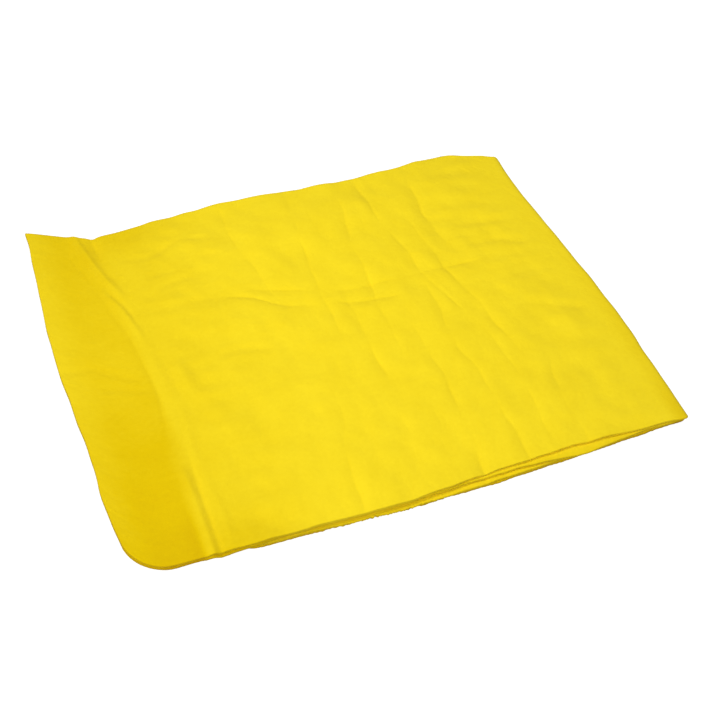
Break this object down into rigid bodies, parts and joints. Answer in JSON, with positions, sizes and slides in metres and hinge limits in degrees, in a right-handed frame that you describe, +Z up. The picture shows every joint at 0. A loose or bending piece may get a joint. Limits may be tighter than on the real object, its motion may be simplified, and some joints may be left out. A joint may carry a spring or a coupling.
{
  "type": "car cleaning cloth",
  "caption": "Soft yellow synthetic chamois cleaning cloth, folded flat in layers; the upper half opens at its fold and the overhanging end strip lifts",
  "frame": {"origin": "the middle of the folded cloth, on the table under it", "axes": "+Z up; +X to the second fold, away from the overhanging strip; +Y to the first fold, away from the cut edges"},
  "size_m": [0.2962, 0.2278, 0.0091],
  "materials": {
    "chamois": "matt, soft non-woven with a short nap"
  },
  "bodies": {
    "lower_half": {"lower_outer_panel": "chamois", "lower_inner_panel": "chamois", "lower_back_fold": "chamois", "lower_outer_turn": "chamois", "lower_inner_turn": "chamois", "lower_corner_turn": "chamois"},
    "upper_half": {"upper_inner_panel": "chamois", "upper_outer_panel": "chamois", "upper_back_fold": "chamois", "upper_inner_turn": "chamois", "upper_outer_turn": "chamois", "upper_corner_turn": "chamois"},
    "end_strip": {"flap_inner_panel": "chamois", "flap_outer_panel": "chamois", "flap_back_fold": "chamois"}
  },
  "joints": [
    {"name": "half_opens", "type": "hinge", "parent": "lower_half", "child": "upper_half", "pos_m": [0.14813, 0, 0.0046], "axis": [0, 1, 0], "range_deg": [0, 180]},
    {"name": "flap_lifts", "type": "hinge", "parent": "upper_half", "child": "end_strip", "pos_m": [-0.10424, 0, 0.0072], "axis": [0, 1, 0], "range_deg": [0, 170]}
  ]
}
